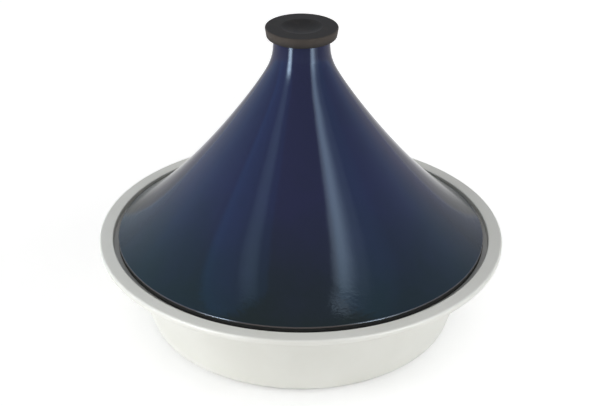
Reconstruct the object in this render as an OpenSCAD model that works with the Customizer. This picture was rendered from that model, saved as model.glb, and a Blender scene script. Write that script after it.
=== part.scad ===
// Tagine pot: a flared round dish, a conical lid that sits in the gallery of its
// rim, and a soft knob screwed on top of the lid's neck.
// Millimetres. The origin is the middle of the dish's foot, and +Z is up.

/* [Dish] */
// Diameter over the rim
rim_d = 350; // [320:1:380]
// Height from the foot to the top of the rim
dish_h = 79; // [70:1:95]
// Diameter where the wall would meet the table
foot_d = 263; // [245:1:275]
// Thickness of the wall
dish_wall_t = 6; // [4.5:0.1:8]
// Thickness of the floor
floor_t = 7; // [5:0.1:10]
// Radius of the outer corner at the foot
foot_round = 7; // [3:0.5:12]
// Radius of the inner corner at the floor
floor_round = 16; // [8:0.5:24]
// Width of the foot ring that touches the table
foot_ring_w = 14; // [8:0.5:24]
// Height by which the floor clears the table inside the foot ring
foot_recess = 1; // [0.5:0.1:2]

/* [Rim] */
// Width of the flat top of the rim
rim_w = 12; // [9:0.5:18]
// Thickness of the rim at its outer edge
rim_edge_t = 5.5; // [4.5:0.1:8]
// Thickness of the rim where it leaves the wall
rim_root_t = 12; // [10:0.5:16]
// Depth of the gallery that the lid sits in
gallery_depth = 4.5; // [3:0.1:6]
// Width of the ledge that the lid rests on
ledge_w = 15; // [13:0.5:18]
// Radius of the rim's outer edges
rim_round = 1.8; // [1:0.1:2.2]
// Radius where the underside of the rim meets the wall
rim_fillet = 5; // [2:0.5:8]

/* [Lid] */
// Gap between the lid and the wall of the gallery
lid_play = 4.4; // [3:0.1:6]
// Height of the lid, from its resting edge to the top of its neck
lid_h = 184.5; // [150:0.5:220]
// Height of the upright band round the lid's edge
lid_band_h = 5.5; // [4.5:0.1:8]
// Thickness of the lid's wall
lid_wall_t = 6; // [4.5:0.1:8]
// Width of the flat ring under the lid's edge
lid_seat_w = 8; // [7:0.5:10]
// Rise of the lid's skirt at its edge, in degrees
skirt_rise = 33.3; // [28:0.1:40]
// Length over which the skirt keeps that rise
skirt_pull = 63; // [40:0.1:80]
// Diameter of the neck at its top, where it is upright
neck_d = 46.6; // [44:0.2:48]
// Diameter of the neck at its foot, where it runs into the flare
neck_foot_d = 55; // [50:0.2:60]
// Length of the neck
neck_len = 27; // [22:0.5:32]
// Rise of the surface at the foot of the neck, in degrees
neck_rise = 66.5; // [55:0.5:80]
// Length over which the flare settles into that rise
neck_pull = 22.6; // [15:0.1:30]
// Length over which the neck leaves that rise, and settles into upright
neck_bend = 10.5; // [7:0.1:14]
// Radius of the outer edges of the lid
lid_round = 1.2; // [0.5:0.1:1.6]

/* [Neck socket] */
// Diameter of the socket in the top of the neck
socket_d = 28; // [24:0.5:30]
// Depth of the socket
socket_depth = 10.4; // [9.5:0.1:12]
// Thickness of the web that the screw pulls on
web_t = 7; // [5:0.5:10]
// Diameter of the screw hole in the web
web_hole_d = 7; // [6.6:0.1:8]

/* [Knob] */
// Diameter of the knob at its top edge
knob_d = 60.2; // [57:0.2:66]
// Amount by which the knob's radius shrinks towards its underside
knob_taper = 1.4; // [0.5:0.1:2]
// Thickness of silicone above the core plate
knob_top_t = 4.3; // [3.6:0.1:6]
// Thickness of silicone beside the core plate
knob_side_t = 3.9; // [3.4:0.1:4.5]
// Length by which the knob reaches down over the neck
knob_lip = 1.3; // [0.8:0.1:3]
// Diameter of the thumb bowl in the top
bowl_d = 34; // [24:0.5:40]
// Depth of the thumb bowl
bowl_depth = 2.6; // [1:0.1:3]
// Radius of the knob's lower edge
knob_round = 1.4; // [0.5:0.1:1.6]

/* [Knob core] */
// Thickness of the core plate
plate_t = 2.2; // [1.8:0.1:3]
// Diameter of the thread insert's barrel
insert_d = 10; // [9:0.2:12]
// Length of the thread insert
insert_len = 10; // [8:0.1:10.5]
// Diameter of the thread insert's flange
insert_flange_d = 13; // [12.4:0.2:16]
// Thickness of the thread insert's flange
insert_flange_t = 1.2; // [0.8:0.1:1.6]
// Depth of the groove that locks the insert in the core
insert_groove = 0.6; // [0.3:0.1:0.8]
// Width of that groove
insert_groove_w = 2; // [1:0.2:3]
// Thickness of the gasket on top of the neck
gasket_t = 0.8; // [0.5:0.1:1.5]
// Width by which the gasket stays inside the neck's edge
gasket_inset = 1.8; // [1.6:0.1:3]

/* [Screw and washers] */
// Diameter of the screw's thread
screw_d = 6; // [5:0.1:6.2]
// Diameter of the screw's head
screw_head_d = 10.5; // [9:0.1:13]
// Height of the screw's head
screw_head_h = 3.3; // [3:0.1:5]
// Width across the flats of the hexagon socket
hex_w = 4; // [3:0.5:5]
// Depth of the hexagon socket
hex_depth = 2; // [1:0.1:2.4]
// Diameter of the steel washer
washer_d = 18; // [14:0.5:22]
// Thickness of the steel washer
washer_t = 1.6; // [1:0.1:2.5]
// Diameter of the sealing washer under the web
seal_d = 20; // [16:0.5:24]
// Thickness of the sealing washer
seal_t = 2; // [1:0.1:3]

/* [Clearances and edges] */
// Radial gap of the core's hub in the socket
hub_gap = 0.4; // [0.2:0.05:0.8]
// Gap of the hub's end above the web
hub_end_gap = 0.4; // [0.2:0.05:0.8]
// Radial gap of the knob's lip round the neck
lip_gap = 0.4; // [0.3:0.05:0.8]
// Radial gap of the screw in its insert
thread_gap = 0.05; // [0.03:0.01:0.1]
// Distance from the screw's tip to the far end of the insert
tip_gap = 1; // [0.5:0.1:3]
// Radial gap of the washers round the screw
washer_gap = 0.2; // [0.1:0.05:0.5]
// Radius of the edges that are only softened
soft_round = 1; // [0.5:0.1:1.4]

/* [Hidden] */

$fn = 120;
ARC_STEPS = 8;      // straight steps in each rounded corner
FLARE_STEPS = 36;   // straight steps along the lid's flare
NECK_STEPS = 10;    // straight steps along its neck
BOWL_STEPS = 12;    // straight steps across the thumb bowl
OVERSHOOT = 1;      // how far a cutting body runs past the surface that it opens

// Dish. The wall is straight: its outside starts at the foot, and its inside
// ends at the inner edge of the ledge.
rim_r = rim_d / 2;
gallery_r = rim_r - rim_w;
ledge_z = dish_h - gallery_depth;
ledge_r = gallery_r - ledge_w;
rim_root_z = dish_h - rim_root_t;
foot_r = foot_d / 2;
inside_run = [ledge_z, ledge_r - foot_r];
wall_flare = atan2(inside_run.y, inside_run.x) + asin(dish_wall_t / norm(inside_run));
function wall_r(z) = foot_r + z * tan(wall_flare);
function inner_wall_r(z) = wall_r(z) - dish_wall_t / cos(wall_flare);

// Lid
lid_edge_r = gallery_r - lid_play;
lid_edge_z = ledge_z + lid_band_h;
lid_seat_r = lid_edge_r - lid_seat_w;
neck_r = neck_d / 2;
neck_foot_r = neck_foot_d / 2;
neck_top_z = ledge_z + lid_h;
neck_foot_z = neck_top_z - neck_len;
socket_r = socket_d / 2;
socket_floor_z = neck_top_z - socket_depth;
web_z = socket_floor_z - web_t;

// The lid's outside is one cubic curve from its edge to the foot of its neck, and
// another from there to the neck's top. They meet in one direction.
neck_foot = [neck_foot_r, neck_foot_z];
up_the_neck = [-cos(neck_rise), sin(neck_rise)];
FLARE = [[lid_edge_r, lid_edge_z],
         [lid_edge_r - skirt_pull * cos(skirt_rise), lid_edge_z + skirt_pull * sin(skirt_rise)],
         neck_foot - neck_pull * up_the_neck,
         neck_foot];
NECK = [neck_foot,
        neck_foot + neck_bend * up_the_neck,
        [neck_r, neck_top_z - neck_bend],
        [neck_r, neck_top_z]];

// Knob, from the neck upwards
knob_r = knob_d / 2;
plate_r = knob_r - knob_side_t;
plate_z = neck_top_z + gasket_t;
plate_top_z = plate_z + plate_t;
knob_top_z = plate_top_z + knob_top_t;
knob_z = neck_top_z - knob_lip;
lip_r = neck_r + lip_gap;
hub_r = socket_r - hub_gap;
hub_z = socket_floor_z + hub_end_gap;

// Screw, from the web downwards
seal_z = web_z - seal_t;
washer_z = seal_z - washer_t;
head_z = washer_z - screw_head_h;
tip_z = hub_z + insert_len - tip_gap;
shank_r = screw_d / 2 - thread_gap;
washer_hole_r = shank_r + washer_gap;

// ---- outlines ----

function unit(v) = v / norm(v);

// The arc of radius r that rounds corner b between a and c, or b itself
function corner(a, b, c, r) =
    r == 0 ? [b] :
    let (u = unit(a - b), v = unit(c - b), half = acos(u * v) / 2,
         middle = b + unit(u + v) * r / sin(half),
         from = b + u * r / tan(half) - middle,
         to = b + v * r / tan(half) - middle,
         start = atan2(from.y, from.x),
         turn = (180 - 2 * half) * sign(cross(from, to)))
    [for (i = [0:ARC_STEPS]) let (t = start + turn * i / ARC_STEPS)
        middle + r * [cos(t), sin(t)]];

// A closed outline from corners [x, z, radius]
function rounded(corners) =
    let (n = len(corners), at = [for (k = corners) [k.x, k.y]])
    [for (i = [0:n - 1])
        each corner(at[(i + n - 1) % n], at[i], at[(i + 1) % n], corners[i].z)];

function bezier(p, t) =
    pow(1 - t, 3) * p[0] + 3 * pow(1 - t, 2) * t * p[1]
    + 3 * (1 - t) * t * t * p[2] + pow(t, 3) * p[3];

function bezier_slope(p, t) =
    pow(1 - t, 2) * (p[1] - p[0]) + 2 * (1 - t) * t * (p[2] - p[1]) + t * t * (p[3] - p[2]);

// A curve in straight steps, moved towards the axis by depth along its own normal
function moved_in(curve, steps, depth) =
    [for (i = [0:steps])
        let (t = i / steps, along = unit(bezier_slope(curve, t)))
        bezier(curve, t) + depth * [-along.y, along.x]];

// The flare and then the neck, up to the last step before its top
function cone(depth) =
    let (neck = moved_in(NECK, NECK_STEPS, depth))
    concat(moved_in(FLARE, FLARE_STEPS, depth), [for (i = [1:NECK_STEPS - 1]) neck[i]]);

function sharp(points) = [for (p = points) [p.x, p.y, 0]];

function reversed(list) = [for (i = [len(list) - 1:-1:0]) list[i]];

// ---- dish ----

module dish() {
    foot_ring_r = foot_r - foot_round - foot_ring_w;
    color("whitesmoke")
    rotate_extrude()
    polygon(rounded([
        [0, foot_recess, 0],
        [foot_ring_r - foot_recess, foot_recess, 0],
        [foot_ring_r, 0, 0],
        [foot_r, 0, foot_round],
        [wall_r(rim_root_z), rim_root_z, rim_fillet],
        [rim_r, dish_h - rim_edge_t, rim_round],
        [rim_r, dish_h, rim_round],
        [gallery_r, dish_h, soft_round],
        [gallery_r, ledge_z, soft_round],
        [ledge_r, ledge_z, soft_round],
        [inner_wall_r(floor_t), floor_t, floor_round],
        [0, floor_t, 0]]));
}

// ---- lid ----

// One shell of even thickness. The neck is solid but for the knob's socket and
// the hole through the web under it.
module lid() {
    inside = cone(lid_wall_t);
    radius_at = [for (p = inside) [p.y, p.x]];
    cavity = [for (p = inside) if (p.y < web_z && p.x < lid_seat_r) p];
    color("midnightblue")
    rotate_extrude()
    polygon(rounded(concat(
        [[lid_seat_r, ledge_z, soft_round],
         [lid_edge_r, ledge_z, lid_round],
         [lid_edge_r, lid_edge_z, lid_round]],
        sharp([for (p = cone(0)) if (p.y > lid_edge_z) p]),
        [[neck_r, neck_top_z, lid_round],
         [socket_r, neck_top_z, 0],
         [socket_r, socket_floor_z, 0],
         [web_hole_d / 2, socket_floor_z, 0],
         [web_hole_d / 2, web_z, 0],
         [lookup(web_z, radius_at), web_z, 0]],
        sharp(reversed(cavity)),
        [[lid_seat_r, lookup(lid_seat_r, inside), 0]])));
}

// ---- knob ----

// A soft shell moulded round the core plate, with a shallow bowl for the thumb
module knob() {
    bowl_r = bowl_d / 2;
    sphere_r = (pow(bowl_r, 2) + pow(bowl_depth, 2)) / (2 * bowl_depth);
    bowl_span = asin(bowl_r / sphere_r);
    bowl = [for (i = [0:BOWL_STEPS])
        let (t = bowl_span * (1 - i / BOWL_STEPS))
        [sphere_r * sin(t), knob_top_z - bowl_depth + sphere_r * (1 - cos(t))]];
    color("darkslategray")
    rotate_extrude()
    polygon(rounded(concat(
        [[lip_r, knob_z, 0],
         [knob_r - knob_taper, knob_z, knob_round],
         [knob_r, knob_top_z, soft_round]],
        sharp(bowl),
        [[0, plate_top_z, 0],
         [plate_r, plate_top_z, 0],
         [plate_r, plate_z, 0],
         [lip_r, plate_z, 0]])));
}

// The insert's outside, which the core is moulded round
module insert_body() {
    groove_z = hub_z + (insert_flange_t + insert_len - insert_groove_w) / 2;
    difference() {
        union() {
            translate([0, 0, hub_z]) cylinder(d = insert_flange_d, h = insert_flange_t);
            translate([0, 0, hub_z]) cylinder(d = insert_d, h = insert_len);
        }
        translate([0, 0, groove_z])
        difference() {
            cylinder(d = insert_d + OVERSHOOT, h = insert_groove_w);
            cylinder(d = insert_d - 2 * insert_groove, h = insert_groove_w);
        }
    }
}

module knob_core() {
    color("dimgray")
    difference() {
        union() {
            translate([0, 0, plate_z]) cylinder(r = plate_r, h = plate_t);
            translate([0, 0, hub_z]) cylinder(r = hub_r, h = plate_z - hub_z);
        }
        insert_body();
    }
}

module thread_insert() {
    color("goldenrod")
    difference() {
        insert_body();
        translate([0, 0, hub_z - OVERSHOOT])
        cylinder(d = screw_d, h = insert_len + 2 * OVERSHOOT);
    }
}

// A flat ring that lies on height z
module ring(z, outer_r, inner_r, t) {
    translate([0, 0, z])
    difference() {
        cylinder(r = outer_r, h = t);
        translate([0, 0, -OVERSHOOT]) cylinder(r = inner_r, h = t + 2 * OVERSHOOT);
    }
}

module neck_gasket() {
    color("gray") ring(neck_top_z, neck_r - gasket_inset, socket_r, gasket_t);
}

// ---- screw ----

module knob_screw() {
    head_r = screw_head_d / 2;
    dome = screw_head_h / 2;
    color("silver")
    difference() {
        rotate_extrude()
        polygon(rounded([
            [0, head_z, 0],
            [head_r - dome, head_z, 0],
            [head_r, head_z + dome, soft_round],
            [head_r, washer_z, 0],
            [shank_r, washer_z, 0],
            [shank_r, tip_z, 0],
            [0, tip_z, 0]]));
        translate([0, 0, head_z - OVERSHOOT])
        cylinder(d = hex_w / cos(30), h = hex_depth + OVERSHOOT, $fn = 6);
    }
}

module screw_washer() {
    color("lightgray") ring(washer_z, washer_d / 2, washer_hole_r, washer_t);
}

module screw_seal() {
    color("gray") ring(seal_z, seal_d / 2, washer_hole_r, seal_t);
}

dish();
lid();
knob();
knob_core();
thread_insert();
neck_gasket();
knob_screw();
screw_washer();
screw_seal();
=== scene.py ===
"""Looks of a tagine pot: a white dish, a glossy blue cone of a lid, a soft dark knob."""

import math

import bmesh
import bpy
from mathutils import Matrix, Vector

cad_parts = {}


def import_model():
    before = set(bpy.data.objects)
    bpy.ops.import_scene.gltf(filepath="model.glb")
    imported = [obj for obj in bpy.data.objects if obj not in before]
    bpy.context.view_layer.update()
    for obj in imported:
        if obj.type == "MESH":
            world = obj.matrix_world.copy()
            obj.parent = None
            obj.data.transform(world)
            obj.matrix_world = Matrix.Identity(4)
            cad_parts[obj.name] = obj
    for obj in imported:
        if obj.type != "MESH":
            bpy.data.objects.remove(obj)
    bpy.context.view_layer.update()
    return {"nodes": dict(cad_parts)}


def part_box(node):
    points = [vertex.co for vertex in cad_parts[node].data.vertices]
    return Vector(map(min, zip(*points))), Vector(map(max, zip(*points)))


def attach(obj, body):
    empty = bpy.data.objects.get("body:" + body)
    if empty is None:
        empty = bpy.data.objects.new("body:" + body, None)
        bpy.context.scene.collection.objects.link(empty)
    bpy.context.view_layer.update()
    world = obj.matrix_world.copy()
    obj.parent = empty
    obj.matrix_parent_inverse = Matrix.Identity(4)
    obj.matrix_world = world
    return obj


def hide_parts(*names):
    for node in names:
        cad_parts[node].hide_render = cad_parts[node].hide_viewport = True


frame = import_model()

MM = 0.001
FACETS = 240  # facets round the axis of every turned piece
SMOOTH_TURN = math.radians(1.5)  # an outline that turns more than this has a corner
SAME_PLACE = 1e-7  # metres: points closer than this are one point

# ---- sizes: the CAD boxes, and the same named values as in part.scad ----

DISH_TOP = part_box("dish")[1]
RIM_R = DISH_TOP.x
DISH_H = DISH_TOP.z
RIM_W = 12 * MM
RIM_EDGE_T = 5.5 * MM
RIM_ROOT_T = 12 * MM
GALLERY_R = RIM_R - RIM_W
LEDGE_Z = DISH_H - 4.5 * MM
LEDGE_R = GALLERY_R - 15 * MM
FOOT_R = 131.5 * MM
DISH_WALL_T = 6 * MM
FLOOR_T = 7 * MM
FOOT_RING_W = 14 * MM
FOOT_RECESS = 1 * MM
FOOT_ROUND = 7 * MM
FLOOR_ROUND = 16 * MM
RIM_ROUND = 1.8 * MM
RIM_FILLET = 5 * MM
FOOT_RING_ROUND = 0.4 * MM
SOFT_ROUND = 1 * MM
SMALL_ROUND = 0.3 * MM

LID_LOW, LID_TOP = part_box("lid")
LID_EDGE_R = LID_TOP.x
LID_FOOT_Z = LID_LOW.z
NECK_TOP_Z = LID_TOP.z
LID_EDGE_Z = LID_FOOT_Z + 5.5 * MM
LID_SEAT_R = LID_EDGE_R - 8 * MM
LID_WALL_T = 6 * MM
LID_ROUND = 1.2 * MM
LID_INSIDE_STEP = 0.5 * MM  # upright stretch between the seat and the cone's inside
SKIRT_RISE = math.radians(33.3)
SKIRT_PULL = 63 * MM
NECK_R = 23.3 * MM
NECK_FOOT_R = 27.5 * MM
NECK_FOOT_Z = NECK_TOP_Z - 27 * MM
NECK_RISE = math.radians(66.5)
NECK_PULL = 22.6 * MM
NECK_BEND = 10.5 * MM
SOCKET_R = 14 * MM
SOCKET_FLOOR_Z = NECK_TOP_Z - 10.4 * MM
WEB_Z = SOCKET_FLOOR_Z - 7 * MM
WEB_HOLE_R = 3.5 * MM

KNOB_LOW, KNOB_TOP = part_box("knob")
KNOB_Z = KNOB_LOW.z
KNOB_TOP_Z = KNOB_TOP.z
KNOB_R = 30.1 * MM
KNOB_TAPER = 1.4 * MM
KNOB_ROUND = 1.4 * MM
LIP_R = NECK_R + 0.4 * MM
PLATE_R = KNOB_R - 3.9 * MM
PLATE_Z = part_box("neck_gasket")[1].z
PLATE_TOP_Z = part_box("knob_core")[1].z
BOWL_R = 17 * MM
BOWL_DEPTH = 2.6 * MM
BOWL_EDGE_ROUND = 1.5 * MM

# ---- turned pieces ----


def corner(a, b, c, radius, steps=8):
    """The points that round corner b between a and c."""
    if radius == 0:
        return [b]
    u, v = (a - b).normalized(), (c - b).normalized()
    half = u.angle(v) / 2
    middle = b + (u + v).normalized() * radius / math.sin(half)
    start = b + u * radius / math.tan(half) - middle
    end = b + v * radius / math.tan(half) - middle
    turn = start.angle_signed(end)
    first = math.atan2(start.y, start.x)
    angles = [first - turn * i / steps for i in range(steps + 1)]
    return [middle + radius * Vector((math.cos(t), math.sin(t))) for t in angles]


def rounded(corners):
    """An outline from corners (r, z, radius). The first and last stay as they are."""
    at = [Vector(c[:2]) for c in corners]
    points = [at[0]]
    for i in range(1, len(at) - 1):
        points += corner(at[i - 1], at[i], at[i + 1], corners[i][2])
    return points + [at[-1]]


def turns(points, i):
    """Whether an outline turns at point i by more than a smooth curve's step does."""
    if not 0 < i < len(points) - 1:
        return True
    before, after = points[i] - points[i - 1], points[i + 1] - points[i]
    return min(before.length, after.length) < SAME_PLACE or before.angle(after) > SMOOTH_TURN


def supported(points, margin=0.3 * MM, step=4 * MM):
    """Adds points to long straight stretches next to corners, so that they shade flat."""
    out = [points[0]]
    for i, (a, b) in enumerate(zip(points, points[1:])):
        length = (b - a).length
        if length > 4 * margin and (turns(points, i) or turns(points, i + 1)):
            along = (b - a) / length
            pieces = max(1, round((length - 2 * margin) / step))
            gap = (length - 2 * margin) / pieces
            out += [a + along * (margin + gap * k) for k in range(pieces + 1)]
        if length > SAME_PLACE:
            out.append(b)
    return out


def turned(name, outline):
    """A smooth body of revolution about +Z from an outline of (r, z) points."""
    bm = bmesh.new()
    rings = []
    for r, z in outline:
        count = 1 if r < SAME_PLACE else FACETS
        angles = [2 * math.pi * i / FACETS for i in range(count)]
        rings.append([bm.verts.new((r * math.cos(t), r * math.sin(t), z)) for t in angles])
    for low, high in zip(rings, rings[1:]):
        for i in range(FACETS):
            j = (i + 1) % FACETS
            face = [low[i % len(low)], low[j % len(low)],
                    high[j % len(high)], high[i % len(high)]]
            bm.faces.new(list(dict.fromkeys(face)))
    bmesh.ops.remove_doubles(bm, verts=bm.verts, dist=SAME_PLACE)
    bmesh.ops.recalc_face_normals(bm, faces=bm.faces)
    mesh = bpy.data.meshes.new(name)
    bm.to_mesh(mesh)
    bm.free()
    mesh.shade_smooth()
    piece = bpy.data.objects.new(name, mesh)
    bpy.context.scene.collection.objects.link(piece)
    return piece


def dish_outline():
    """Out from the axis under the floor, up the wall, over the rim and back inside."""
    run = Vector((LEDGE_Z, LEDGE_R - FOOT_R))
    flare = math.atan2(run.y, run.x) + math.asin(DISH_WALL_T / run.length)

    def outer(z):
        return FOOT_R + z * math.tan(flare)

    def inner(z):
        return outer(z) - DISH_WALL_T / math.cos(flare)

    ring_r = FOOT_R - FOOT_ROUND - FOOT_RING_W
    root_z = DISH_H - RIM_ROOT_T
    return rounded([
        (0, FOOT_RECESS, 0),
        (ring_r - FOOT_RECESS, FOOT_RECESS, FOOT_RING_ROUND),
        (ring_r, 0, FOOT_RING_ROUND),
        (FOOT_R, 0, FOOT_ROUND),
        (outer(root_z), root_z, RIM_FILLET),
        (RIM_R, DISH_H - RIM_EDGE_T, RIM_ROUND),
        (RIM_R, DISH_H, RIM_ROUND),
        (GALLERY_R, DISH_H, SOFT_ROUND),
        (GALLERY_R, LEDGE_Z, SOFT_ROUND),
        (LEDGE_R, LEDGE_Z, SOFT_ROUND),
        (inner(FLOOR_T), FLOOR_T, FLOOR_ROUND),
        (0, FLOOR_T, 0),
    ])


def moved_in(p, steps, depth):
    """A cubic curve in straight steps, moved towards the axis by depth."""
    points = []
    for i in range(steps + 1):
        t = i / steps
        s = 1 - t
        at = s**3 * p[0] + 3 * s * s * t * p[1] + 3 * s * t * t * p[2] + t**3 * p[3]
        along = s * s * (p[1] - p[0]) + 2 * s * t * (p[2] - p[1]) + t * t * (p[3] - p[2])
        along.normalize()
        points.append(at + depth * Vector((-along.y, along.x)))
    return points


def cone(depth, flare_steps=80, neck_steps=20):
    """The lid's outside from its edge up to its neck's top, moved in by depth."""
    edge = Vector((LID_EDGE_R, LID_EDGE_Z))
    out_of_edge = Vector((-math.cos(SKIRT_RISE), math.sin(SKIRT_RISE)))
    neck_foot = Vector((NECK_FOOT_R, NECK_FOOT_Z))
    up_the_neck = Vector((-math.cos(NECK_RISE), math.sin(NECK_RISE)))
    flare = [edge, edge + SKIRT_PULL * out_of_edge,
             neck_foot - NECK_PULL * up_the_neck, neck_foot]
    neck = [neck_foot, neck_foot + NECK_BEND * up_the_neck,
            Vector((NECK_R, NECK_TOP_Z - NECK_BEND)), Vector((NECK_R, NECK_TOP_Z))]
    return moved_in(flare, flare_steps, depth) + moved_in(neck, neck_steps, depth)[1:-1]


def lid_outline():
    """From the seat, round the edge, up the cone, down the socket and back inside."""
    inside = [p for p in cone(LID_WALL_T) if p.y < WEB_Z and p.x < LID_SEAT_R]
    seat = (LID_SEAT_R, inside[0].y - LID_INSIDE_STEP, 0)
    corners = [
        seat,
        (LID_SEAT_R, LID_FOOT_Z, SOFT_ROUND),
        (LID_EDGE_R, LID_FOOT_Z, LID_ROUND),
        (LID_EDGE_R, LID_EDGE_Z, LID_ROUND),
    ]
    corners += [(p.x, p.y, 0) for p in cone(0)[1:]]
    corners += [
        (NECK_R, NECK_TOP_Z, LID_ROUND),
        (SOCKET_R, NECK_TOP_Z, SMALL_ROUND),
        (SOCKET_R, SOCKET_FLOOR_Z, SMALL_ROUND),
        (WEB_HOLE_R, SOCKET_FLOOR_Z, SMALL_ROUND),
        (WEB_HOLE_R, WEB_Z, SMALL_ROUND),
        (inside[-1].x, WEB_Z, 0),
    ]
    corners += [(p.x, p.y, 0) for p in reversed(inside)]
    return rounded(corners + [seat])


def knob_outline(steps=16):
    """From the axis over the bowl, round the rim, and back round the core plate."""
    sphere = (BOWL_R**2 + BOWL_DEPTH**2) / (2 * BOWL_DEPTH)
    span = math.asin(BOWL_R / sphere)
    bowl = []
    for i in range(steps):
        t = span * i / steps
        height = KNOB_TOP_Z - BOWL_DEPTH + sphere * (1 - math.cos(t))
        bowl.append((sphere * math.sin(t), height, 0))
    return rounded([
        *bowl,
        (BOWL_R, KNOB_TOP_Z, BOWL_EDGE_ROUND),
        (KNOB_R, KNOB_TOP_Z, SOFT_ROUND),
        (KNOB_R - KNOB_TAPER, KNOB_Z, KNOB_ROUND),
        (LIP_R, KNOB_Z, SMALL_ROUND),
        (LIP_R, PLATE_Z, 0),
        (PLATE_R, PLATE_Z, 0),
        (PLATE_R, PLATE_TOP_Z, 0),
        (0, PLATE_TOP_Z, 0),
    ])


# ---- materials ----

NAVY = (0.0195, 0.0205, 0.060)
SLATE = (0.0125, 0.0188, 0.020)
BARE_CLAY = (0.030, 0.028, 0.024)
CORNER_HIGHLIGHT = (0.080, 0.068, 0.063)  # painted highlight: a lighter line along the lid's corner
FACING_GLOSS, GRAZING_GLOSS = 0.5, 0.112  # Specular IOR Level by the angle of view
WHITE_GLAZE = ((0.79, 0.79, 0.735), (0.83, 0.83, 0.78))
# painted shade: the greyer tone of the dish's ledge under the lid's edge
SEAT_SHADE_TONE = (0.56, 0.555, 0.53)
KNOB_FACE = (0.036, 0.0345, 0.0345)
# painted shade: the knob's bowl is darker than its face
KNOB_BOWL_SHADE = (0.030, 0.029, 0.029)
# painted light: the knob's side is lighter and browner than its top
KNOB_SIDE_LIT = (0.077, 0.066, 0.058)
BLACK_RESIN = ((0.02, 0.02, 0.02), (0.035, 0.035, 0.035))
GREY_SILICONE = ((0.24, 0.24, 0.23), (0.34, 0.34, 0.33))
STEEL = (0.60, 0.60, 0.60)
BRASS = (0.75, 0.55, 0.25)


class Shader:
    """A Principled material under construction: nodes are added and linked by name."""

    def __init__(self, name, **sockets):
        self.material = bpy.data.materials.new(name)
        self.material.use_nodes = True
        self.nodes = self.material.node_tree.nodes
        self.links = self.material.node_tree.links
        self.bsdf = self.nodes["Principled BSDF"]
        self.place = self.nodes.new("ShaderNodeTexCoord").outputs["Object"]
        for key, value in sockets.items():
            self.bsdf.inputs[key.replace("_", " ")].default_value = value

    def set(self, socket, source):
        self.links.new(source, self.bsdf.inputs[socket])

    def height(self, low, high, to=(0.0, 1.0), smooth=True):
        """Runs from to[0] at the height low, in metres, to to[1] at the height high."""
        node = self.nodes.new("ShaderNodeSeparateXYZ")
        self.links.new(self.place, node.inputs[0])
        return self.span(node.outputs["Z"], low, high, to, smooth)

    def radius(self):
        """Distance from the axis, in metres."""
        flat = self.nodes.new("ShaderNodeVectorMath")
        flat.operation = "MULTIPLY"
        flat.inputs[1].default_value = (1, 1, 0)
        self.links.new(self.place, flat.inputs[0])
        length = self.nodes.new("ShaderNodeVectorMath")
        length.operation = "LENGTH"
        self.links.new(flat.outputs[0], length.inputs[0])
        return length.outputs["Value"]

    def span(self, value, low, high, to=(0.0, 1.0), smooth=True):
        """Maps value from low...high to the two ends of to, and holds it beyond them."""
        node = self.nodes.new("ShaderNodeMapRange")
        node.interpolation_type = "SMOOTHSTEP" if smooth else "LINEAR"
        for i, number in enumerate((low, high, *to)):
            node.inputs[i + 1].default_value = number
        self.links.new(value, node.inputs[0])
        return node.outputs[0]

    def noise(self, scale, detail=3.0, stretch=(1, 1, 1)):
        """Noise with features of about 1/scale metres."""
        mapping = self.nodes.new("ShaderNodeMapping")
        mapping.inputs["Scale"].default_value = stretch
        self.links.new(self.place, mapping.inputs[0])
        node = self.nodes.new("ShaderNodeTexNoise")
        node.inputs["Scale"].default_value = scale
        node.inputs["Detail"].default_value = detail
        self.links.new(mapping.outputs[0], node.inputs["Vector"])
        return node.outputs["Fac"]

    def math(self, operation, a, b):
        node = self.nodes.new("ShaderNodeMath")
        node.operation = operation
        for socket, value in zip(node.inputs, (a, b)):
            if isinstance(value, (int, float)):
                socket.default_value = value
            else:
                self.links.new(value, socket)
        return node.outputs[0]

    def mix(self, factor, a, b):
        node = self.nodes.new("ShaderNodeMix")
        node.data_type = "RGBA"
        self.links.new(factor, node.inputs[0])
        for socket, value in zip(node.inputs[6:8], (a, b)):
            if isinstance(value, tuple):
                socket.default_value = (*value, 1)
            else:
                self.links.new(value, socket)
        return node.outputs[2]

    def bump(self, *layers):
        """Relief from (height source, depth in metres) layers."""
        normal = None
        for source, depth in layers:
            node = self.nodes.new("ShaderNodeBump")
            node.inputs["Strength"].default_value = 1.0
            node.inputs["Distance"].default_value = depth
            self.links.new(source, node.inputs["Height"])
            if normal is not None:
                self.links.new(normal, node.inputs["Normal"])
            normal = node.outputs[0]
        self.set("Normal", normal)


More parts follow.
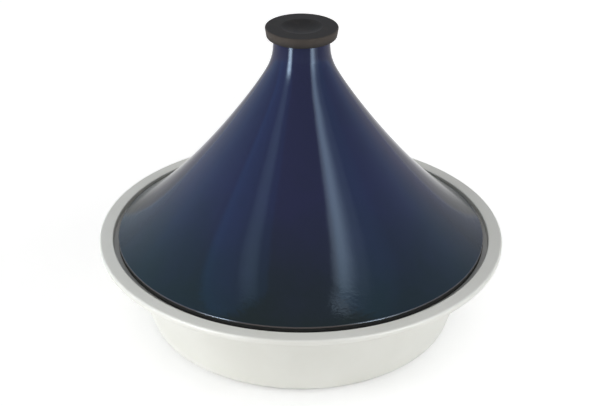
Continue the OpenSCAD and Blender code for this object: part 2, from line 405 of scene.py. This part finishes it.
def lid_glaze():
    """Navy that turns to slate towards a bare edge, with a painted highlight line at the
    corner.
    """
    s = Shader("lid_glaze", Roughness=0.07, IOR=1.25, Specular_Tint=(0.60, 0.80, 1.0, 1.0))
    facing = s.nodes.new("ShaderNodeLayerWeight").outputs["Facing"]
    at_corner = s.math("MULTIPLY",
                       s.height(LID_EDGE_Z - 1.1 * MM, LID_EDGE_Z - 0.7 * MM),
                       s.height(LID_EDGE_Z, LID_EDGE_Z + 0.5 * MM, (1.0, 0.0)))
    gloss = s.span(facing, 0.44, 0.82, (FACING_GLOSS, GRAZING_GLOSS))
    s.set("Specular IOR Level", s.math("ADD", gloss, s.math("MULTIPLY", at_corner, 0.5)))
    rise = s.height(LID_EDGE_Z, LID_EDGE_Z + 72 * MM, smooth=False)
    mottle = s.span(s.noise(22, 4), 0.3, 0.7, (-0.12, 0.12))
    colour = s.mix(s.math("ADD", rise, mottle), SLATE, NAVY)
    # painted highlight: the corner's lighter line, where the glaze also reflects more
    colour = s.mix(at_corner, colour, CORNER_HIGHLIGHT)
    glazed = s.height(LID_EDGE_Z - 1.9 * MM, LID_EDGE_Z - 0.8 * MM)
    s.set("Base Color", s.mix(glazed, BARE_CLAY, colour))
    s.set("Roughness", s.span(glazed, 0, 1, (0.55, 0.07)))
    wave = s.noise(18, 2)
    ripple = s.noise(140, 3, (1, 1, 3))
    low = s.height(LID_EDGE_Z + 9 * MM, LID_EDGE_Z + 24 * MM, (1.0, 0.0))
    brushed = s.math("MULTIPLY", s.noise(230, 3, (1, 1, 2.2)), low)
    s.bump((wave, 0.25 * MM), (ripple, 0.03 * MM), (brushed, 0.10 * MM))
    return s.material


def dish_glaze():
    """A satin white, with painted shade that makes the ledge the lid rests on greyer."""
    s = Shader("dish_glaze", Roughness=0.4, IOR=1.42)
    mottle = s.span(s.noise(15, 5), 0.3, 0.7)
    colour = s.mix(mottle, *WHITE_GLAZE)
    above = s.height(LEDGE_Z - 2 * MM, LEDGE_Z - 1 * MM)
    below = s.height(LEDGE_Z + 0.3 * MM, LEDGE_Z + 1.8 * MM, (1.0, 0.0))
    inside = s.span(s.radius(), GALLERY_R + 0.2 * MM, GALLERY_R + 0.8 * MM, (1.0, 0.0))
    # painted shade: the ledge under the lid's edge is made greyer
    seat = s.math("MULTIPLY", s.math("MULTIPLY", above, below), inside)
    s.set("Base Color", s.mix(seat, colour, SEAT_SHADE_TONE))
    s.set("Roughness", s.span(s.noise(60, 4), 0.3, 0.7, (0.44, 0.54)))
    s.bump((s.noise(30, 2), 0.1 * MM), (s.noise(900, 2), 0.006 * MM))
    return s.material


def knob_silicone():
    """A matte grey-brown, with painted light making it lighter round the side and painted shade
    making it darker in the bowl.
    """
    s = Shader("knob_silicone", Roughness=0.55, IOR=1.1)
    mottle = s.span(s.noise(120, 4), 0.3, 0.7, (-0.15, 0.15))
    # painted light: lighter and browner round the side
    side = s.span(s.radius(), KNOB_R - 1.6 * MM, KNOB_R - 0.4 * MM)
    # painted shade: darker inside the bowl
    out_of_bowl = s.span(s.radius(), BOWL_R - 3 * MM, BOWL_R)
    face = s.mix(out_of_bowl, KNOB_BOWL_SHADE, KNOB_FACE)
    s.set("Base Color", s.mix(s.math("ADD", side, mottle), face, KNOB_SIDE_LIT))
    s.bump((s.noise(1500, 3), 0.02 * MM))
    return s.material


def core_resin():
    s = Shader("core_resin", Roughness=0.45)
    s.set("Base Color", s.mix(s.noise(200), *BLACK_RESIN))
    s.bump((s.noise(1200, 2), 0.01 * MM))
    return s.material


def seal_silicone():
    s = Shader("seal_silicone", Roughness=0.5)
    s.set("Base Color", s.mix(s.noise(300), *GREY_SILICONE))
    s.bump((s.noise(1500, 2), 0.01 * MM))
    return s.material


def turned_metal(name, colour, roughness=0.3):
    """A metal with fine rings round its axis, as a lathe leaves them."""
    s = Shader(name, Metallic=1.0, Roughness=roughness)
    rings = s.nodes.new("ShaderNodeTexNoise")
    rings.noise_dimensions = "1D"
    rings.inputs["Scale"].default_value = 6000
    s.links.new(s.radius(), rings.inputs["W"])
    dark = tuple(0.8 * c for c in colour)
    s.set("Base Color", s.mix(rings.outputs["Fac"], dark, colour))
    s.set("Roughness",
          s.span(rings.outputs["Fac"], 0.3, 0.7, (roughness - 0.08, roughness + 0.1)))
    s.bump((rings.outputs["Fac"], 0.01 * MM))
    return s.material


def dress(node, material):
    """Gives a CAD node its finish."""
    mesh = frame["nodes"][node].data
    mesh.materials.clear()
    mesh.materials.append(material)


def place(piece, body, node, slot, material):
    """Puts a turned piece in the place of a CAD node."""
    piece.data.materials.append(material)
    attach(piece, body)
    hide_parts(node)


place(turned("dish_body", supported(dish_outline())), "dish", "dish", "dish_glaze",
      dish_glaze())
place(turned("lid_cone", supported(lid_outline())), "lid", "lid", "lid_glaze", lid_glaze())
place(turned("knob_cover", supported(knob_outline())), "lid", "knob", "knob_silicone",
      knob_silicone())
steel = turned_metal("screw_steel", STEEL)
silicone = seal_silicone()
dress("knob_core", core_resin())
dress("thread_insert", turned_metal("insert_brass", BRASS))
dress("neck_gasket", silicone)
dress("screw_seal", silicone)
dress("knob_screw", steel)
dress("screw_washer", steel)

# ---- studio ----

CAMERA_DISTANCE = 1.155
CAMERA_ELEVATION = math.radians(28.53)
CAMERA_AIM = Vector((-0.0008, 0.0, 0.1034))
CAMERA_ROLL = math.radians(0.25)
LENS = 79.9
WORLD_LEVEL = 0.357  # what the object gets; the camera and mirror-like rays see white

FLOOR_HALF = 3.0  # metres from the middle to each side
FLOOR_GREY, FLOOR_WHITE = 0.85, 0.7  # as diffuse light sees it, and as the camera does
# The white floor's own glow by distance from the axis, in metres. It grows outwards, so
# that the shadow at the foot stays and the rest is white; its low stops near the foot
# are a painted shadow that widens the real one.
FLOOR_GLOW_AND_SHADOW = [(0.13, 0.24), (0.15, 0.37), (0.165, 0.45), (0.19, 0.51), (0.25, 0.54),
              (0.4, 0.57), (0.7, 0.61), (1.2, 0.68), (3.0, 0.95)]
RIGHT_GLOW = (0.13, 0.11)  # by this many metres towards +X, this much is added

# Falloffs of the lamps that the glaze mirrors: (place, brightness) stops from a lamp's
# low azimuth edge, or for UP from its foot.
STRIP_ACROSS = [(0, 0), (0.13, 0.6), (0.28, 1), (0.38, 1), (0.62, 0.27), (0.72, 0.13),
                (0.86, 0.1), (1, 0)]
STRIP_UP = [(0, 1), (0.14, 0.65), (0.2, 0.55), (0.45, 0.55), (0.68, 0.3), (0.7, 0.15),
            (0.92, 0.26), (1, 0)]
BAND_ACROSS = [(0, 0), (0.15, 0.55), (0.45, 1), (0.75, 0.93), (0.95, 0.3), (1, 0)]
BAND_UP = [(0, 1), (0.67, 1), (0.8, 0.75), (0.9, 0.6), (1, 0)]
LOW_ACROSS = [(0, 0), (0.15, 0.35), (0.45, 1), (0.62, 1), (0.9, 0.28), (1, 0)]
LOW_UP = [(0, 1), (0.38, 1), (0.64, 0.25), (0.82, 0.1), (1, 0)]
LEFT_NEAR = [(0, 0), (0.1, 1), (0.4, 0.7), (0.5, 0.5), (0.95, 0.48), (1, 0)]
RIGHT_NEAR = [(0, 0), (0.04, 1), (0.75, 1), (1, 0)]
LEFT_FAR = [(0, 0), (0.3, 1), (0.7, 1), (1, 0)]
RIGHT_FAR = [(0, 0), (0.15, 1), (0.7, 1), (1, 0)]
FAR_BACK = [(0, 0), (0.2, 1), (0.8, 1), (1, 0)]


def camera():
    """The photo's viewpoint: 28.5 degrees up, in front."""
    back = Vector((0, -math.cos(CAMERA_ELEVATION), math.sin(CAMERA_ELEVATION)))
    data = bpy.data.cameras.new("camera")
    data.sensor_width = 36
    data.lens = LENS
    cam = bpy.data.objects.new("camera", data)
    turn = (-back).to_track_quat("-Z", "Y").to_matrix() @ Matrix.Rotation(CAMERA_ROLL, 3, "Z")
    cam.matrix_world = Matrix.Translation(CAMERA_AIM + back * CAMERA_DISTANCE) @ turn.to_4x4()
    bpy.context.scene.collection.objects.link(cam)
    bpy.context.scene.camera = cam


def profile(tree, value, stops):
    """A brightness that runs through (place, level) stops across a lamp."""
    ramp = tree.nodes.new("ShaderNodeValToRGB")
    ramp.color_ramp.elements.remove(ramp.color_ramp.elements[1])
    for i, (place, level) in enumerate(stops):
        element = ramp.color_ramp.elements[0] if i == 0 else ramp.color_ramp.elements.new(place)
        element.position = place
        element.color = (level, level, level, 1)
    tree.links.new(value, ramp.inputs[0])
    return ramp.outputs[0]


def panel(name, azimuth, distance, low, high, width, power, across=None, up=None,
          mirrored=True, colour=(1, 1, 1)):
    """An upright soft lamp that faces the axis. Azimuth 0 is the camera's side, 90 is +X.

    A mirrored lamp shows in glossy surfaces, and any other one gives diffuse light.
    across and up give its brightness from its low azimuth edge and from its foot.
    """
    a = math.radians(azimuth)
    at = Vector((distance * math.sin(a), -distance * math.cos(a), (low + high) / 2))
    lamp = bpy.data.lights.new(name, "AREA")
    lamp.shape = "RECTANGLE"
    lamp.size, lamp.size_y = width, high - low
    lamp.energy = power
    lamp.color = colour
    if across or up:
        lamp.use_nodes = True
        tree = lamp.node_tree
        place_on_lamp = tree.nodes.new("ShaderNodeNewGeometry").outputs["Parametric"]
        parts = tree.nodes.new("ShaderNodeSeparateXYZ")
        tree.links.new(place_on_lamp, parts.inputs[0])
        level = tree.nodes.new("ShaderNodeMath")
        level.operation = "MULTIPLY"
        tree.links.new(profile(tree, parts.outputs[0], across or [(0, 1)]), level.inputs[0])
        tree.links.new(profile(tree, parts.outputs[1], up or [(0, 1)]), level.inputs[1])
        tree.links.new(level.outputs[0], tree.nodes["Emission"].inputs["Strength"])
    obj = bpy.data.objects.new(name, lamp)
    obj.location = at
    obj.rotation_euler = (-Vector((at.x, at.y, 0))).to_track_quat("-Z", "Y").to_euler()
    obj.visible_camera = False
    obj.visible_glossy = mirrored
    obj.visible_diffuse = not mirrored
    bpy.context.scene.collection.objects.link(obj)


def white_to_camera(tree, plain, white):
    """Shows white to the camera and to mirror-like rays, and plain to diffuse light."""
    path = tree.nodes.new("ShaderNodeLightPath")
    mix = tree.nodes.new("ShaderNodeMixShader")
    seen = path.outputs["Is Camera Ray"]
    for kind in ("Is Glossy Ray", "Is Transmission Ray"):
        either = tree.nodes.new("ShaderNodeMath")
        either.operation = "MAXIMUM"
        tree.links.new(seen, either.inputs[0])
        tree.links.new(path.outputs[kind], either.inputs[1])
        seen = either.outputs[0]
    tree.links.new(seen, mix.inputs[0])
    tree.links.new(plain, mix.inputs[1])
    tree.links.new(white, mix.inputs[2])
    return mix.outputs[0]


def world():
    """White to the camera and in reflections, and a plain level of light on the object."""
    w = bpy.data.worlds.new("studio")
    bpy.context.scene.world = w
    w.use_nodes = True
    tree = w.node_tree
    tree.nodes.clear()
    plain = tree.nodes.new("ShaderNodeBackground")
    plain.inputs["Strength"].default_value = WORLD_LEVEL
    white = tree.nodes.new("ShaderNodeBackground")
    white.inputs["Strength"].default_value = 1.0
    for node in (plain, white):
        node.inputs["Color"].default_value = (1, 1, 1, 1)
    out = tree.nodes.new("ShaderNodeOutputWorld")
    tree.links.new(white_to_camera(tree, plain.outputs[0], white.outputs[0]), out.inputs[0])


def floor():
    """A plain pale floor that looks white and keeps the object's shadow, with a painted shadow
    round the foot.
    """
    mesh = bpy.data.meshes.new("floor")
    h = FLOOR_HALF
    mesh.from_pydata([(-h, -h, 0), (h, -h, 0), (h, h, 0), (-h, h, 0)], [], [(0, 1, 2, 3)])
    obj = bpy.data.objects.new("floor", mesh)
    bpy.context.scene.collection.objects.link(obj)
    m = bpy.data.materials.new("floor")
    m.use_nodes = True
    tree = m.node_tree
    tree.nodes.clear()
    plain = tree.nodes.new("ShaderNodeBsdfDiffuse")
    plain.inputs["Color"].default_value = (FLOOR_GREY, FLOOR_GREY, FLOOR_GREY, 1)
    white = tree.nodes.new("ShaderNodeBsdfDiffuse")
    white.inputs["Color"].default_value = (FLOOR_WHITE, FLOOR_WHITE, FLOOR_WHITE, 1)
    glow = tree.nodes.new("ShaderNodeEmission")
    spot = tree.nodes.new("ShaderNodeTexCoord").outputs["Object"]
    away = tree.nodes.new("ShaderNodeVectorMath")
    away.operation = "LENGTH"
    tree.links.new(spot, away.inputs[0])
    sides = tree.nodes.new("ShaderNodeSeparateXYZ")
    tree.links.new(spot, sides.inputs[0])
    right = tree.nodes.new("ShaderNodeMapRange")
    for socket, value in zip(("From Max", "To Max"), RIGHT_GLOW):
        right.inputs[socket].default_value = value
    tree.links.new(sides.outputs["X"], right.inputs["Value"])
    share = tree.nodes.new("ShaderNodeMath")
    share.operation = "DIVIDE"
    share.inputs[1].default_value = h
    tree.links.new(away.outputs["Value"], share.inputs[0])
    # painted shadow: the glow dips near the foot
    stops = [(reach / h, strength) for reach, strength in FLOOR_GLOW_AND_SHADOW]
    level = tree.nodes.new("ShaderNodeMath")
    level.operation = "ADD"
    tree.links.new(profile(tree, share.outputs[0], stops), level.inputs[0])
    tree.links.new(right.outputs[0], level.inputs[1])
    tree.links.new(level.outputs[0], glow.inputs["Strength"])
    lit = tree.nodes.new("ShaderNodeAddShader")
    tree.links.new(white.outputs[0], lit.inputs[0])
    tree.links.new(glow.outputs[0], lit.inputs[1])
    out = tree.nodes.new("ShaderNodeOutputMaterial")
    tree.links.new(white_to_camera(tree, plain.outputs[0], lit.outputs[0]), out.inputs[0])
    mesh.materials.append(m)


camera()
world()
floor()
panel("right_strip", 48, 2.2, 0.03, 5.6, 1.43, 462, STRIP_ACROSS, STRIP_UP)
panel("right_strip_foot", 49.5, 0.6, 0.0, 0.19, 0.39, 4.3, STRIP_ACROSS)
panel("left_band", -50, 2.2, 0.0, 4.4, 0.74, 20.8, BAND_ACROSS, BAND_UP, colour=(0.8, 0.93, 1))
panel("left_low", -45, 2.2, 0.03, 1.6, 0.78, 144, LOW_ACROSS, LOW_UP)
panel("left_low_foot", -44.5, 0.6, 0.0, 0.19, 0.21, 4.7, LOW_ACROSS)
panel("cool_left_near", -58, 1.4, 0.0, 2.9, 1.43, 25.5, LEFT_NEAR, colour=(0.06, 0.42, 1))
panel("cool_left_far", -104, 1.4, 0.0, 2.9, 1.62, 14.0, LEFT_FAR, colour=(0.05, 0.5, 1))
panel("cool_right_near", 60, 1.4, 0.0, 2.9, 1.25, 14.5, RIGHT_NEAR, colour=(0.1, 0.56, 1))
panel("cool_right_far", 104, 1.4, 0.0, 2.9, 1.62, 11.0, RIGHT_FAR, colour=(0.0, 0.36, 1))
panel("cool_left_back", -148, 2.0, 0.0, 3.0, 1.8, 7.0, FAR_BACK, colour=(0.0, 0.42, 1))
panel("cool_right_back", 148, 2.0, 0.0, 3.0, 1.8, 4.0, FAR_BACK, colour=(0.0, 0.2, 1))
panel("fill_left", -85, 1.6, 0.1, 1.1, 1.2, 12.5, mirrored=False)
panel("fill_left_low", -70, 1.6, 0.0, 0.5, 1.2, 2.0, mirrored=False)
panel("fill_left_high", -60, 1.6, 1.0, 1.8, 1.2, 5.8, mirrored=False)
panel("fill_right_high", 75, 1.6, 1.0, 1.8, 1.2, 1.2, mirrored=False)
panel("fill_right", 85, 1.6, 0.1, 1.1, 1.2, 10.2, mirrored=False)
panel("fill_front", 0, 1.6, 0.0, 0.4, 1.0, 5.2, mirrored=False)

bpy.context.scene.view_settings.view_transform = "Standard"
